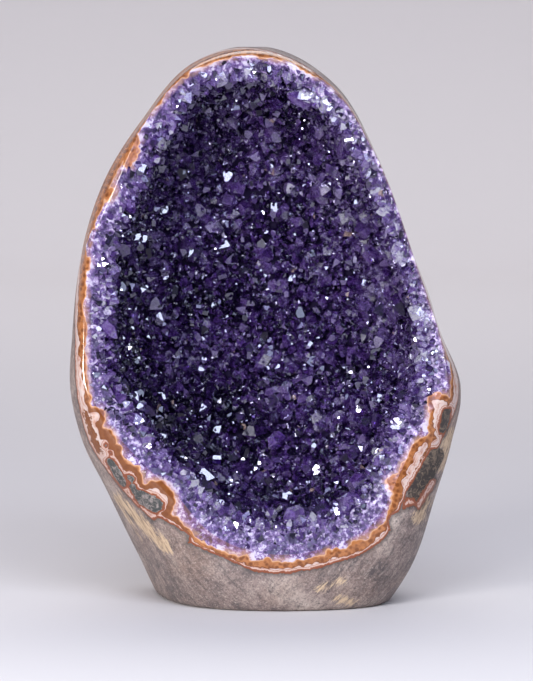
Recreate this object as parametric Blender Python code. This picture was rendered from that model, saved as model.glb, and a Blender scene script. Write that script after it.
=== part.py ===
"""Amethyst geode that stands on its sawn base, with its polished opening leaning back a little.

Two pieces: the stone shell with its agate lining, and the crust of quartz and amethyst points in its hollow.
Metres, +Z up, the opening faces -Y, and the origin lies on the flat base.

Every surface is described from the face, the leaning plane that the opening was cut and polished to.
A place on the object is a turn round the face's centre, a radius from it, and a depth behind the face.
"""

import math

import bmesh
import bpy
import numpy as np
from mathutils import Vector, noise
from mathutils.geometry import delaunay_2d_cdt

TAU = 2 * math.pi
QUARTER = math.pi / 2

# The face: where it stands, and how far it leans back for each metre of height.
CENTRE_Z = 0.237
FACE_Y = -0.096
LEAN = 0.155

# Outlines: radii from the face's centre, every 15 degrees, from +X by way of the top.
# The stone's is its widest outline, and below the base it is only where the sides aim.
STONE_R = (
    0.154, 0.147, 0.148, 0.162, 0.189, 0.229, 0.253, 0.248,
    0.219, 0.199, 0.183, 0.173, 0.171, 0.179, 0.188, 0.201,
    0.232, 0.281, 0.300, 0.281, 0.246, 0.208, 0.188, 0.177,
)  # fmt: skip
AGATE_R = (
    0.151, 0.144, 0.147, 0.161, 0.187, 0.222, 0.243, 0.241,
    0.213, 0.186, 0.174, 0.162, 0.158, 0.161, 0.155, 0.152,
    0.156, 0.175, 0.185, 0.187, 0.184, 0.164, 0.155, 0.160,
)  # fmt: skip
POINTS_R = (
    0.140, 0.137, 0.140, 0.153, 0.177, 0.211, 0.230, 0.228,
    0.195, 0.170, 0.158, 0.145, 0.141, 0.143, 0.138, 0.138,
    0.142, 0.156, 0.165, 0.166, 0.164, 0.146, 0.138, 0.142,
)  # fmt: skip

# The widest outline's depth behind the face, every 30 degrees: the foot's left side stands well back.
RIDGE_DEPTH = (0.036, 0.036, 0.038, 0.040, 0.036, 0.036, 0.038, 0.062, 0.130, 0.118, 0.066, 0.045)

# The outside: how round its polished edge is, how deep and boxy its back is, and the back's own outline.
EDGE_POWER = 1.0
EDGE_POWER_BELOW = 1.45
BACK_DEPTH = 0.222
BACK_POWER = 2.1
BACK_POWER_BELOW = 3.4
BACK_SPACING_POWER = 0.8
BELOW_POWER = 3
BACK_SIDE_R = 0.160
BACK_TOP_R = 0.240
BACK_FOOT_R = 0.300
LUMP_HEIGHT = 0.0045
LUMP_SIZE = 0.055
LUMP_RISE = 2.0
SMOOTH_UP_TO = math.radians(40)

# The hollow: its deepest place lies left of the centre, so the left wall is the steep one.
DEEP_X = -0.028
DEEP_Z = 0.225
HOLLOW_DEPTH = 0.168
HOLLOW_POWER = 2.3
HOLLOW_POWER_LEFT = 3.0
CLEARANCE = 0.0004

# The crust: quartz below the points, and the points themselves.
QUARTZ_THICKNESS = 0.027
LIP_DROP = 0.004
POINT_SPACING = 0.0125
POINT_FROM_RIM = 0.6 * POINT_SPACING
POINT_HEIGHTS = (0.0079, 0.0131)
POINT_LEAN = 0.25
POINT_LEAST_DEPTH = 0.003
POINT_TRIES = 12000
SEED = 7

# How finely the smooth surfaces are faceted.
TURNS = 52
BACK_RINGS = 8
EDGE_RINGS = 5
HOLLOW_RINGS = 8
# The average meridian, sampled for the flat map.
MERIDIAN_STEPS = 400
MERIDIAN_END = QUARTER - 0.002
MERIDIAN_EVERY = 4
SAME_POINT = 1e-7


def around(values, turn):
    """A smooth value at this turn, through values spaced evenly round the circle."""
    place = turn / TAU * len(values)
    first = math.floor(place)
    t = place - first
    a, b, c, d = (values[(first + k) % len(values)] for k in (-1, 0, 1, 2))
    return b + 0.5 * t * (c - a + t * (2 * a - 5 * b + 4 * c - d + t * (3 * (b - c) + d - a)))


def below(turn):
    """0 for the upper half of the turn, rising to 1 straight down."""
    return max(0.0, -math.sin(turn)) ** BELOW_POWER


def behind_face(x, z, depth):
    """The point this far behind the leaning face."""
    return Vector((x, FACE_Y + LEAN * z + depth, z))


def at(turn, radius, depth):
    return behind_face(radius * math.cos(turn), CENTRE_Z + radius * math.sin(turn), depth)


def mix(a, b, share):
    return a + (b - a) * share


def back_outline(turn):
    """The plain egg that the outline grows into towards the middle of the back."""
    tall = BACK_TOP_R if math.sin(turn) > 0 else BACK_FOOT_R
    return 1 / math.hypot(math.cos(turn) / BACK_SIDE_R, math.sin(turn) / tall)


def back_point(turn, angle):
    """The back of the stone, from its widest outline (angle 0) to the back's middle (a quarter turn)."""
    power = mix(BACK_POWER, BACK_POWER_BELOW, below(turn))
    ridge = around(RIDGE_DEPTH, turn)
    outline = mix(around(STONE_R, turn), back_outline(turn), math.sin(angle) ** 2)
    reach = math.cos(angle) ** BACK_SPACING_POWER
    point = at(turn, outline * reach, mix(ridge, BACK_DEPTH, (1 - reach**power) ** (1 / power)))
    outward = Vector((math.cos(turn) * math.cos(angle), math.sin(angle), math.sin(turn) * math.cos(angle)))
    lump = LUMP_HEIGHT * noise.noise(point / LUMP_SIZE) * min(1.0, LUMP_RISE * math.sin(angle))
    return point + lump * outward


def edge_point(turn, angle):
    """The polished edge, from the flat face (angle 0) round to the widest outline (a quarter turn)."""
    start = around(AGATE_R, turn)
    radius = start + (around(STONE_R, turn) - start) * math.sin(angle)
    power = mix(EDGE_POWER, EDGE_POWER_BELOW, below(turn))
    return at(turn, radius, around(RIDGE_DEPTH, turn) * (1 - math.cos(angle) ** power))


def bowl_point(turn, angle, rim, depth, rim_depth=0.0):
    """A hollow's wall, from its rim (angle 0) down to its deepest place (a quarter turn)."""
    power = mix(HOLLOW_POWER, HOLLOW_POWER_LEFT, max(0.0, -math.cos(turn)))
    reach = math.cos(angle) ** (2 / power)
    sink = math.sin(angle) ** (2 / power)
    x = mix(DEEP_X, rim * math.cos(turn), reach)
    z = mix(DEEP_Z, CENTRE_Z + rim * math.sin(turn), reach)
    return behind_face(x, z, mix(rim_depth, depth, sink))


def hollow_point(turn, angle, clearance=0.0):
    """The stone's hollow; with a clearance, the crust's own back, just clear of it."""
    return bowl_point(turn, angle, around(AGATE_R, turn) - clearance, HOLLOW_DEPTH - clearance, clearance)


def floor_point(turn, angle):
    """Where the points grow from: the bottom of the valleys between them."""
    return bowl_point(turn, angle, around(POINTS_R, turn), HOLLOW_DEPTH - QUARTZ_THICKNESS, LIP_DROP)


def floor_normal(turn, angle, step=0.02):
    """The direction that points out of the hollow's wall, into the hollow."""
    angle = min(max(angle, step), QUARTER - step)
    along = floor_point(turn + step, angle) - floor_point(turn - step, angle)
    down = floor_point(turn, angle + step) - floor_point(turn, angle - step)
    return along.cross(down).normalized()


def turns():
    return [TAU * i / TURNS for i in range(TURNS)]


def steps(count):
    """Angles from just above 0 to just below a quarter turn."""
    return [QUARTER * (i + 1) / (count + 1) for i in range(count)]


def ring_of(bm, function, angle):
    return [bm.verts.new(function(turn, angle)) for turn in turns()]


def add_strip(bm, inner, outer):
    """Triangles between two rings, with the diagonals always the same way."""
    for i in range(len(inner)):
        k = (i + 1) % len(inner)
        bm.faces.new((inner[i], inner[k], outer[k]))
        bm.faces.new((inner[i], outer[k], outer[i]))


def add_skin(bm, pole, rings):
    """A fan from the pole to the first ring, then strips from ring to ring."""
    first = rings[0]
    for i in range(len(first)):
        bm.faces.new((pole, first[(i + 1) % len(first)], first[i]))
    for inner, outer in zip(rings, rings[1:]):
        add_strip(bm, inner, outer)


def cut_base(bm):
    """Saws the stone off level at the base and closes the cut with one flat face."""
    everything = bm.verts[:] + bm.edges[:] + bm.faces[:]
    bmesh.ops.bisect_plane(bm, geom=everything, plane_co=(0, 0, 0), plane_no=(0, 0, 1), clear_inner=True)
    open_edges = [edge for edge in bm.edges if edge.is_boundary]
    bmesh.ops.contextual_create(bm, geom=open_edges)
    bmesh.ops.recalc_face_normals(bm, faces=bm.faces[:])


def stone_shell():
    """Outside from the back's middle to the face, then the hollow down to its deepest place."""
    bm = bmesh.new()
    back_middle = bm.verts.new(back_point(0, QUARTER))
    rings = [ring_of(bm, back_point, angle) for angle in reversed(steps(BACK_RINGS))]
    rings += [ring_of(bm, edge_point, angle) for angle in [QUARTER] + steps(EDGE_RINGS)[::-1] + [0.0]]
    rings += [ring_of(bm, hollow_point, angle) for angle in steps(HOLLOW_RINGS)]
    add_skin(bm, back_middle, rings)
    deepest = bm.verts.new(hollow_point(0, QUARTER))
    last = rings[-1]
    for i in range(TURNS):
        bm.faces.new((deepest, last[i], last[(i + 1) % TURNS]))
    cut_base(bm)
    return bm


def flat_map():
    """For an average meridian of the floor: the angles, and the radius that each has once it is laid out flat."""
    angles = np.linspace(0, MERIDIAN_END, MERIDIAN_STEPS)
    profiles = np.array([[floor_point(turn, angle) for angle in angles] for turn in turns()[::MERIDIAN_EVERY]])
    steps_down = np.linalg.norm(np.diff(profiles, axis=1), axis=2).mean(axis=0)
    centre = np.array(floor_point(0, QUARTER))
    radius = np.linalg.norm((profiles - centre)[:, :, [0, 2]], axis=2).mean(axis=0)
    shrink = np.concatenate([[0], np.cumsum(steps_down / radius[:-1])])
    return angles, np.exp(-shrink)


def tip_sites(rng):
    """(turn, angle) of each point: random places on the floor, each kept if no other is too near."""
    rim = np.array([floor_point(turn, 0.0) for turn in turns()])
    kept = np.empty((0, 3))
    sites = []
    for turn, angle in rng.uniform((0, 0), (TAU, QUARTER), (POINT_TRIES, 2)):
        place = np.array(floor_point(turn, angle))
        clear_of_rim = np.linalg.norm(rim - place, axis=1).min() > POINT_FROM_RIM
        if clear_of_rim and (np.linalg.norm(kept - place, axis=1) > POINT_SPACING).all():
            kept = np.vstack([kept, place])
            sites.append((turn, angle))
    return sites


def tip_point(rng, turn, angle):
    """The tip that stands over this site, never past the polished face."""
    lean = Vector(rng.uniform(-POINT_LEAN, POINT_LEAN, 3))
    height = rng.uniform(*POINT_HEIGHTS)
    tip = floor_point(turn, angle) + height * (floor_normal(turn, angle) + lean)
    tip.y = max(tip.y, FACE_Y + LEAN * tip.z + POINT_LEAST_DEPTH)
    return tip


def add_points(bm, rim):
    """Closes the crust's front with flat-sided points: tips joined to the valleys between their neighbours."""
    rng = np.random.default_rng(SEED)
    angles, flattened = flat_map()
    sites = tip_sites(rng)
    flat = [Vector((math.cos(turn), math.sin(turn))) for turn in turns()]
    for turn, angle in sites:
        size = float(np.interp(angle, angles, flattened))
        flat.append(Vector((size * math.cos(turn), size * math.sin(turn))))
    verts = list(rim) + [bm.verts.new(tip_point(rng, turn, angle)) for turn, angle in sites]
    triangles = delaunay_2d_cdt(flat, [], [], 0, SAME_POINT)[2]
    valleys = []
    sides = {}
    for number, triangle in enumerate(triangles):
        middle = sum((flat[i] for i in triangle), Vector((0, 0))) / 3
        angle = float(np.interp(-middle.length, -flattened, angles))
        valleys.append(bm.verts.new(floor_point(math.atan2(middle.y, middle.x), angle)))
        for i in range(3):
            sides[triangle[i], triangle[(i + 1) % 3]] = number
    for (a, b), number in sides.items():
        across = sides.get((b, a))
        third = verts[b] if across is None else valleys[across]
        bm.faces.new((verts[a], third, valleys[number]))


def crystal_crust():
    """The crust's back just inside the hollow, the polished quartz lip, and the field of points."""
    bm = bmesh.new()

    def back(turn, angle):
        return hollow_point(turn, angle, CLEARANCE)

    deepest = bm.verts.new(back(0, QUARTER))
    rings = [ring_of(bm, back, angle) for angle in steps(HOLLOW_RINGS)[::-1] + [0.0]]
    rings.append(ring_of(bm, floor_point, 0.0))
    add_skin(bm, deepest, rings)
    add_points(bm, rings[-1])
    return bm


def material(name, colour, roughness):
    made = bpy.data.materials.new(name)
    made.use_nodes = True
    shader = made.node_tree.nodes["Principled BSDF"]
    shader.inputs["Base Color"].default_value = (*colour, 1.0)
    shader.inputs["Roughness"].default_value = roughness
    shader.inputs["Metallic"].default_value = 0.0
    made.diffuse_color = (*colour, 1.0)
    return made


def add_object(name, bm, own_material):
    mesh = bpy.data.meshes.new(name)
    bm.to_mesh(mesh)
    bm.free()
    mesh.materials.append(own_material)
    made = bpy.data.objects.new(name, mesh)
    bpy.context.scene.collection.objects.link(made)
    return made


def main():
    for old in list(bpy.data.objects):
        bpy.data.objects.remove(old, do_unlink=True)
    stone = add_object("stone_shell", stone_shell(), material("basalt", (0.20, 0.17, 0.15), 0.35))
    stone.data.shade_smooth()
    stone.data.set_sharp_from_angle(angle=SMOOTH_UP_TO)
    add_object("crystal_crust", crystal_crust(), material("amethyst", (0.10, 0.04, 0.26), 0.12))


main()
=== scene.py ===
"""Looks of the amethyst geode.

Polished basalt with an agate band, a milky quartz lip, and a hollow full of clear points.
Every surface is described from the face, the leaning plane that the opening was cut and polished to.
A place is a turn round the face's centre, a radius from it, and a depth behind the face, all in metres.
"""

import itertools
import math

import bmesh
import bpy
import numpy as np
from mathutils import Euler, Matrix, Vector, noise


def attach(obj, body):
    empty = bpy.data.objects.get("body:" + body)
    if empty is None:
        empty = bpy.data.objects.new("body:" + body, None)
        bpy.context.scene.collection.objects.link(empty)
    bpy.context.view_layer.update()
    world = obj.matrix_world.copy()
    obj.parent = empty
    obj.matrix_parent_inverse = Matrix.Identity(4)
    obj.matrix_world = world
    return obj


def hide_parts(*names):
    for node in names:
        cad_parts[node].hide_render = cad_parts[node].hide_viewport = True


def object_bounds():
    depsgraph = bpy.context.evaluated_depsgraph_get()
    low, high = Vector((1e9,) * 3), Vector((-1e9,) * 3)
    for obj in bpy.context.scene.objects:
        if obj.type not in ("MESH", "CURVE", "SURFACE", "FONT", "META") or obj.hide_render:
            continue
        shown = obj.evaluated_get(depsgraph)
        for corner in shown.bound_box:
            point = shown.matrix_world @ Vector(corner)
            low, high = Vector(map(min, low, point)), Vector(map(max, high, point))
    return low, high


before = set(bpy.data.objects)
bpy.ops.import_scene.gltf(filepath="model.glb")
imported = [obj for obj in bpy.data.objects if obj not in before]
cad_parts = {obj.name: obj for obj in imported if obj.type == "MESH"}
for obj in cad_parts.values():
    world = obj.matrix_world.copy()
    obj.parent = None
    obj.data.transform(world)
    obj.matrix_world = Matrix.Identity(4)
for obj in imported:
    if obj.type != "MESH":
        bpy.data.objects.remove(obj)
CAD_BOX = [list(corner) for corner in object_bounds()]

TAU = 2 * math.pi
QUARTER = math.pi / 2
MM = 0.001

# The face: where it stands, and how far it leans back for each metre of height.
CENTRE_Z = 0.237
FACE_Y = -0.096
LEAN = 0.155

# Outlines: radii from the face's centre, every 15 degrees, from +X by way of the top.
STONE_R = (
    0.154, 0.147, 0.148, 0.162, 0.189, 0.229, 0.253, 0.248,
    0.219, 0.199, 0.183, 0.173, 0.171, 0.179, 0.188, 0.201,
    0.232, 0.281, 0.300, 0.281, 0.246, 0.208, 0.188, 0.177,
)  # fmt: skip
AGATE_R = (
    0.151, 0.144, 0.147, 0.161, 0.187, 0.222, 0.243, 0.241,
    0.213, 0.186, 0.174, 0.162, 0.158, 0.161, 0.155, 0.152,
    0.156, 0.175, 0.185, 0.187, 0.184, 0.164, 0.155, 0.160,
)  # fmt: skip
POINTS_R = (
    0.140, 0.137, 0.140, 0.153, 0.177, 0.211, 0.230, 0.228,
    0.195, 0.170, 0.158, 0.145, 0.141, 0.143, 0.138, 0.138,
    0.142, 0.156, 0.165, 0.166, 0.164, 0.146, 0.138, 0.142,
)  # fmt: skip

# Where the agate ends against the basalt, in millimetres over the polished edge, every 15 degrees.
AGATE_WIDTH = (
    20, 18, 18, 14, 10, 11, 16, 50, 58, 56, 46, 28,
    16, 14, 34, 40, 34, 15, 17, 15, 17, 14, 25, 24,
)  # fmt: skip
# How far the agate reaches in over the lip, or stops short of it, in millimetres, every 15 degrees.
AGATE_INWARD = (
    -3, -3, -3, -3, -3, -4, -1, 1, -1, -4, -5, -1,
    1, 1, -6, -8, -14, -8, -5, -5, -5, -4, -10, -7,
)  # fmt: skip
# How wide the orange layer is where the agate meets the quartz, in millimetres, every 15 degrees.
ORANGE_WIDTH = (
    2, 1.5, 1.5, 2, 3, 4, 9, 36, 38, 36, 24, 13,
    9, 4, 7, 7.5, 6, 4, 6, 6, 7, 6, 5, 4.5,
)  # fmt: skip

# Marks on the front, in millimetres right of and above the face's centre.
# Each runs along a line, (x, z) to (x, z), and reaches so far to each side.
AGATE_LOBES = (
    ((-14, 250), (4, 245), 3.5),
    ((5, 245), (20, 244), 3.5),
    ((22, 242), (44, 231), 4.0),
    ((-121, 152), (-114, 174), 5.0),
    ((-136, 128), (-139, 124), 5.5),
    ((-147, 116), (-148, 115), 5.0),
    ((-152, 100), (-153, 99), 4.5),
    ((-159, 82), (-160, 81), 4.5),
    ((-158, 66), (-159, 64), 5.5),
    ((-160, 37), (-161, 36), 4.0),
    ((-161, 12), (-161, 4), 4.5),
    ((-151, -68), (-152, -69), 11.0),
    ((-154, -57), (-155, -58), 3.0),
    ((-141, -88), (-142, -89), 11.0),
    ((-134, -100), (-135, -101), 10.0),
    ((-120, -118), (-121, -119), 12.5),
    ((-98, -139), (-96, -141), 18.0),
    ((-69, -168), (-68, -169), 5.5),
    ((-36, -188), (-35, -189), 5.0),
    ((-17, -189), (-18, -190), 6.0),
    ((57, -190), (62, -190), 9.0),
    ((78, -181), (106, -168), 7.0),
    ((151, -57), (151, -82), 10.5),
    ((137, -95), (125, -114), 10.0),
    ((110, -124), (112, -125), 6.5),
    ((121, -122), (119, -140), 10.0),
)
BROWN_PATCHES = (((-157, -66), (-147, -98), 3.0),)
# Where the orange layer is browner than elsewhere.
BROWNER = (((-150, -75), (-88, -150), 24.0),)
INCLUSIONS = (
    ((-136, -108), (-125, -127), 3.2),
    ((-119, -121), (-118, -122), 2.4),
    ((-117, -129), (-112, -136), 2.8),
    ((-108, -138), (-97, -144), 6.5),
    ((-140, -92), (-140, -93), 0.6),
    ((-136, -99), (-136, -100), 0.3),
    ((157, -64), (154, -79), 3.5),
    ((147, -103), (131, -132), 7.0),
)
AGATE_STREAKS = (((145, -126), (131, -147), 3.5), ((125, -142), (122, -144), 5.0))
BASALT_TONGUES = (((113, -158), (126, -152), 7.0), ((-93, -162), (-73, -173), 6.0))
OCHRE_VEINS = (
    ((-131, -144), (-88, -182), 4.5),
    ((-131, -145), (-112, -190), 2.5),
    ((160, -84), (153, -112), 4.5),
    ((140, -143), (132, -157), 4.5),
    ((46, -216), (64, -208), 1.5),
    ((62, -226), (73, -229), 2.5),
)

# The outside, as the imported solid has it.
RIDGE_DEPTH = (0.036, 0.036, 0.038, 0.040, 0.036, 0.036, 0.038, 0.062, 0.130, 0.118, 0.066, 0.045)
EDGE_POWER = 1.0
EDGE_POWER_BELOW = 1.45
BACK_DEPTH = 0.222
BACK_POWER = 2.1
BACK_POWER_BELOW = 3.4
BACK_SPACING_POWER = 0.8
BACK_SIDE_R = 0.160
BACK_TOP_R = 0.240
BACK_FOOT_R = 0.300
LUMP_HEIGHT = 0.0045
LUMP_SIZE = 0.055
# The rough rind: from which share of the way to the back it starts, how soon it is full, and how worn it is.
RIND_START = 0.15
RIND_SPREAD = 0.25
RIND_WEAR = 0.0012
WEAR_SIZE = 0.018
WEAR_OCTAVES = 4
NOISE_SHIFT = Vector((17.3, 5.1, 9.7))
FOOT_ROUNDING = 0.003
SHARP_ANGLE = math.radians(50)

# The marks lie no further behind the face than this, and the basalt's grain turns over across this width.
FRONT_DEPTH = 0.06
GRAIN_TURNS_OVER = 0.12
# Distances in millimetres for places that the marks and bands don't reach.
FAR_OUTSIDE = -50.0
FAR_INSIDE = 50.0
HIDDEN_IN_STONE = -20.0
HIDDEN_IN_CRUST = -30.0

# The hollow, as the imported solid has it.
DEEP_X = -0.028
DEEP_Z = 0.225
HOLLOW_DEPTH = 0.168
HOLLOW_POWER = 2.3
HOLLOW_POWER_LEFT = 3.0
CLEARANCE = 0.0004
QUARTZ_THICKNESS = 0.027
LIP_DROP = 0.004

# How finely the smooth surfaces are meshed.
TURNS = 600
BACK_RINGS = 64
EDGE_RINGS = 56
HOLLOW_RINGS = 6
LIP_RINGS = 16
FLOOR_RINGS = 60
# How many of the floor's rings, next to the lip, are milky quartz; the others are near black, painted shade
# in the gaps between the points.
BRIGHT_RINGS = 2


def around(values, turn):
    """Smooth values at these turns, through numbers spaced evenly round the circle."""
    values = np.asarray(values, float)
    place = np.asarray(turn) / TAU * len(values)
    first = np.floor(place).astype(int)
    t = place - first
    a, b, c, d = (values[(first + k) % len(values)] for k in (-1, 0, 1, 2))
    return b + 0.5 * t * (c - a + t * (2 * a - 5 * b + 4 * c - d + t * (3 * (b - c) + d - a)))


def mix(a, b, share):
    return a + (b - a) * share


def below(turn):
    """0 for the upper half of the turn, rising to 1 straight down."""
    return np.maximum(0.0, -np.sin(turn)) ** 3


def behind_face(x, z, depth):
    return np.stack([x, FACE_Y + LEAN * z + depth, z], axis=-1)


def at(turn, radius, depth):
    return behind_face(radius * np.cos(turn), CENTRE_Z + radius * np.sin(turn), depth)


def back_point(turn, angle):
    power = mix(BACK_POWER, BACK_POWER_BELOW, below(turn))
    ridge = around(RIDGE_DEPTH, turn)
    tall = np.where(np.sin(turn) > 0, BACK_TOP_R, BACK_FOOT_R)
    egg = 1 / np.hypot(np.cos(turn) / BACK_SIDE_R, np.sin(turn) / tall)
    outline = mix(around(STONE_R, turn), egg, np.sin(angle) ** 2)
    reach = np.cos(angle) ** BACK_SPACING_POWER
    return at(turn, outline * reach, mix(ridge, BACK_DEPTH, (1 - reach**power) ** (1 / power)))


def edge_point(turn, angle):
    start = around(AGATE_R, turn)
    radius = start + (around(STONE_R, turn) - start) * np.sin(angle)
    power = mix(EDGE_POWER, EDGE_POWER_BELOW, below(turn))
    return at(turn, radius, around(RIDGE_DEPTH, turn) * (1 - np.cos(angle) ** power))


def bowl_point(turn, angle, rim, depth, rim_depth=0.0):
    power = mix(HOLLOW_POWER, HOLLOW_POWER_LEFT, np.maximum(0.0, -np.cos(turn)))
    reach = np.cos(angle) ** (2 / power)
    sink = np.sin(angle) ** (2 / power)
    x = mix(DEEP_X, rim * np.cos(turn), reach)
    z = mix(DEEP_Z, CENTRE_Z + rim * np.sin(turn), reach)
    return behind_face(x, z, mix(rim_depth, depth, sink))


def hollow_point(turn, angle, clearance=0.0):
    return bowl_point(turn, angle, around(AGATE_R, turn) - clearance, HOLLOW_DEPTH - clearance, clearance)


def floor_point(turn, angle):
    return bowl_point(turn, angle, around(POINTS_R, turn), HOLLOW_DEPTH - QUARTZ_THICKNESS, LIP_DROP)


def lip_width(turn):
    return around(AGATE_R, turn) - around(POINTS_R, turn)


def lip_point(turn, share):
    """On the polished quartz, from the agate (share 0) to where the points begin."""
    return mix(edge_point(turn, 0.0), floor_point(turn, 0.0), np.asarray(share)[..., None])


def floor_normal(turn, angle, step=0.02):
    """The direction out of the hollow's wall, into the hollow."""
    angle = np.clip(angle, step, QUARTER - step)
    along = floor_point(turn + step, angle) - floor_point(turn - step, angle)
    down = floor_point(turn, angle + step) - floor_point(turn, angle - step)
    normal = np.cross(along, down)
    return normal / np.linalg.norm(normal, axis=-1, keepdims=True)


def grid(function, angles):
    """Rings of points, one for each angle: an array of rings by turns by 3."""
    turn, angle = np.meshgrid(np.arange(TURNS) * TAU / TURNS, angles)
    return function(turn, angle)


def smooth_noise(points, size, octaves):
    """Fractal noise, about -1 to 1, at each point."""
    flat = points.reshape(-1, 3) / size
    values = [noise.fractal(Vector(p) + NOISE_SHIFT, 1.0, 2.0, octaves) for p in flat]
    return np.array(values).reshape(points.shape[:-1])


def ring_faces(rings):
    """Quads between rings of TURNS points each, as one array of corner numbers."""
    i, j = np.meshgrid(np.arange(TURNS), np.arange(rings - 1))
    k = (i + 1) % TURNS
    a = j * TURNS
    b = a + TURNS
    return np.stack([a + i, a + k, b + k, b + i], axis=-1).reshape(-1, 4)


def fan_faces(pole, first, outward):
    """Triangles between a pole and the ring that starts at this number."""
    i = np.arange(TURNS)
    k = (i + 1) % TURNS
    a, b = (k, i) if outward else (i, k)
    return np.stack([np.full(TURNS, pole), first + a, first + b], axis=-1)


def closed_faces(rings):
    """The faces of a closed body: its rings, then a pole at each end, numbered after all the rings."""
    faces = ring_faces(rings).tolist()
    faces += fan_faces(rings * TURNS, 0, True).tolist()
    faces += fan_faces(rings * TURNS + 1, (rings - 1) * TURNS, False).tolist()
    return faces


def add_mesh(name, points, faces, own_material, attributes=None):
    mesh = bpy.data.meshes.new(name)
    mesh.from_pydata(points.reshape(-1, 3).tolist(), [], faces)
    for key, values in (attributes or {}).items():
        layer = mesh.attributes.new(key, "FLOAT", "POINT")
        layer.data.foreach_set("value", np.asarray(values, np.float32).reshape(-1))
    mesh.materials.append(own_material)
    made = bpy.data.objects.new(name, mesh)
    bpy.context.scene.collection.objects.link(made)
    return made


def keep_in_cad_box(points):
    return np.clip(points, np.array(CAD_BOX[0]), np.array(CAD_BOX[1]))


class Graph:
    """A short way to write a material's nodes."""

    def __init__(self, name):
        self.material = bpy.data.materials.new(name)
        self.material.use_nodes = True
        self.tree = self.material.node_tree
        self.shader = self.tree.nodes["Principled BSDF"]
        self.output = self.tree.nodes["Material Output"]
        self.place = self.add("ShaderNodeTexCoord").outputs["Object"]

    def add(self, kind, **settings):
        node = self.tree.nodes.new(kind)
        for key, value in settings.items():
            setattr(node, key, value)
        return node

    def plug(self, socket, value):
        if isinstance(value, bpy.types.NodeSocket):
            self.tree.links.new(value, socket)
        elif isinstance(value, tuple) and len(value) == 3 and socket.type == "RGBA":
            socket.default_value = (*value, 1.0)
        else:
            socket.default_value = value

    def math(self, operation, a, b=0.0):
        node = self.add("ShaderNodeMath", operation=operation)
        self.plug(node.inputs[0], a)
        self.plug(node.inputs[1], b)
        return node.outputs[0]

    def mapped(self, value, low, high, to_low=0.0, to_high=1.0):
        node = self.add("ShaderNodeMapRange")
        for socket, given in zip(node.inputs[:5], (value, low, high, to_low, to_high)):
            self.plug(socket, given)
        return node.outputs[0]

    def attribute(self, name):
        return self.add("ShaderNodeAttribute", attribute_name=name).outputs["Fac"]

    def noise(self, size, detail=3.0, roughness=0.5, place=None, distortion=0.0):
        node = self.add("ShaderNodeTexNoise")
        self.plug(node.inputs["Vector"], place or self.place)
        node.inputs["Scale"].default_value = 1 / size
        node.inputs["Detail"].default_value = detail
        node.inputs["Roughness"].default_value = roughness
        node.inputs["Distortion"].default_value = distortion
        return node.outputs["Fac"]

    def cells(self, size, feature="F1", place=None, output="Distance", smoothness=None):
        node = self.add("ShaderNodeTexVoronoi", feature=feature)
        self.plug(node.inputs["Vector"], place or self.place)
        node.inputs["Scale"].default_value = 1 / size
        if smoothness is not None:
            node.inputs["Smoothness"].default_value = smoothness
        return node.outputs[output]

    def drawn_out(self, stretch, slant=0.0):
        """The place, for texture drawn out by this much along each axis, the first turned down by a slant."""
        node = self.add("ShaderNodeMapping", vector_type="TEXTURE")
        self.plug(node.inputs["Vector"], self.place)
        node.inputs["Rotation"].default_value = (0.0, math.radians(slant), 0.0)
        node.inputs["Scale"].default_value = stretch
        return node.outputs[0]

    def ramp(self, value, stops):
        node = self.add("ShaderNodeValToRGB")
        self.plug(node.inputs["Fac"], value)
        elements = node.color_ramp.elements
        while len(elements) < len(stops):
            elements.new(1.0)
        for element, (position, colour) in zip(elements, stops):
            element.position = position
            element.color = (*colour, 1.0)
        return node.outputs["Color"]

    def blend(self, share, a, b):
        node = self.add("ShaderNodeMix", data_type="RGBA")
        self.plug(node.inputs["Factor"], share)
        self.plug(node.inputs["A"], a)
        self.plug(node.inputs["B"], b)
        return node.outputs["Result"]

    def bump(self, height, distance, strength=1.0, normal=None):
        node = self.add("ShaderNodeBump")
        node.inputs["Distance"].default_value = distance
        node.inputs["Strength"].default_value = strength
        self.plug(node.inputs["Height"], height)
        if normal is not None:
            self.plug(node.inputs["Normal"], normal)
        return node.outputs["Normal"]

    def set(self, **sockets):
        for name, value in sockets.items():
            self.plug(self.shader.inputs[name.replace("_", " ")], value)
        return self.material


# Colours, as linear light.
BASALT_DARK = (0.080, 0.065, 0.066)
BASALT_MID = (0.225, 0.165, 0.150)
BASALT_PALE = (0.45, 0.37, 0.325)
BASALT_RUSTY = (0.25, 0.155, 0.115)
INCLUSION_GREY = (0.042, 0.046, 0.045)
INCLUSION_BROWN = (0.028, 0.021, 0.019)
INCLUSION_VEIN = (0.25, 0.21, 0.20)
INCLUSION_BROWN_VEIN = (0.155, 0.112, 0.080)
INCLUSION_RIM = (0.22, 0.27, 0.27)
OCHRE_DARK = (0.28, 0.185, 0.115)
OCHRE = (0.58, 0.43, 0.285)
AGATE_ORANGE = (0.36, 0.135, 0.045)
AGATE_BROWN = (0.15, 0.043, 0.010)
AGATE_RUST = (0.20, 0.055, 0.026)
AGATE_SALMON = (0.42, 0.205, 0.140)
AGATE_PINK = (0.51, 0.385, 0.350)
AGATE_CREAM = (0.60, 0.50, 0.45)
AGATE_TAN = (0.50, 0.27, 0.15)
QUARTZ_WHITE = (0.54, 0.49, 0.62)
QUARTZ_LILAC = (0.22, 0.135, 0.34)
QUARTZ_VIOLET = (0.060, 0.028, 0.125)
QUARTZ_SHADOW = (0.016, 0.008, 0.040)
# Painted shade for the floor in the gaps between the points.
PAINTED_SHADE_FLOOR = (0.010, 0.006, 0.026)
QUARTZ_AMBER = (0.46, 0.25, 0.15)


# The polished edge cuts the agate's beads at a slant, so they run on from front to back.
BEAD_STRETCH = (1.0, 2.0, 1.0)
BEAD_SIZE = 0.0042
# The size of the agate's lobes and how far they reach, the large ones and the small ones on them.
LARGE_LOBES = (0.0150, 3.5)
SMALL_LOBES = (0.0065, 4.0)
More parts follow.
